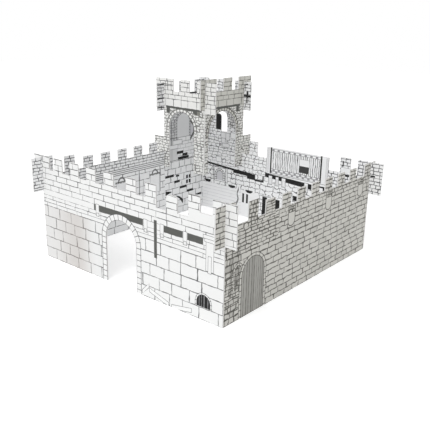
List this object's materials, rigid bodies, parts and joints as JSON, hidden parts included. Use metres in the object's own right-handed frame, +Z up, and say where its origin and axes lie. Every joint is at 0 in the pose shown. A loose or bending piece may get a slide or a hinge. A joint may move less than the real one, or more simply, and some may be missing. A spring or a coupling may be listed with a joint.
{
  "type": "cardboard play castle",
  "caption": "Toy castle of flat printed card sheets that slot together: crenellated walls round a courtyard, an arched gate and a square corner tower.",
  "frame": {"origin": "on the floor, under the middle of the castle's bounding box", "axes": "+Z up, +Y from the front wall with the gate to the back wall, +X along the front wall to the right as seen from outside the gate"},
  "size_m": [0.677, 0.698, 0.445],
  "materials": {
    "printed_card": "matt white card printed with grey line stonework"
  },
  "bodies": {
    "root": {"front_wall": "printed_card", "right_wall": "printed_card", "left_wall": "printed_card", "back_wall": "printed_card", "tower_front_panel": "printed_card", "tower_side_panel": "printed_card"}
  },
  "joints": []
}
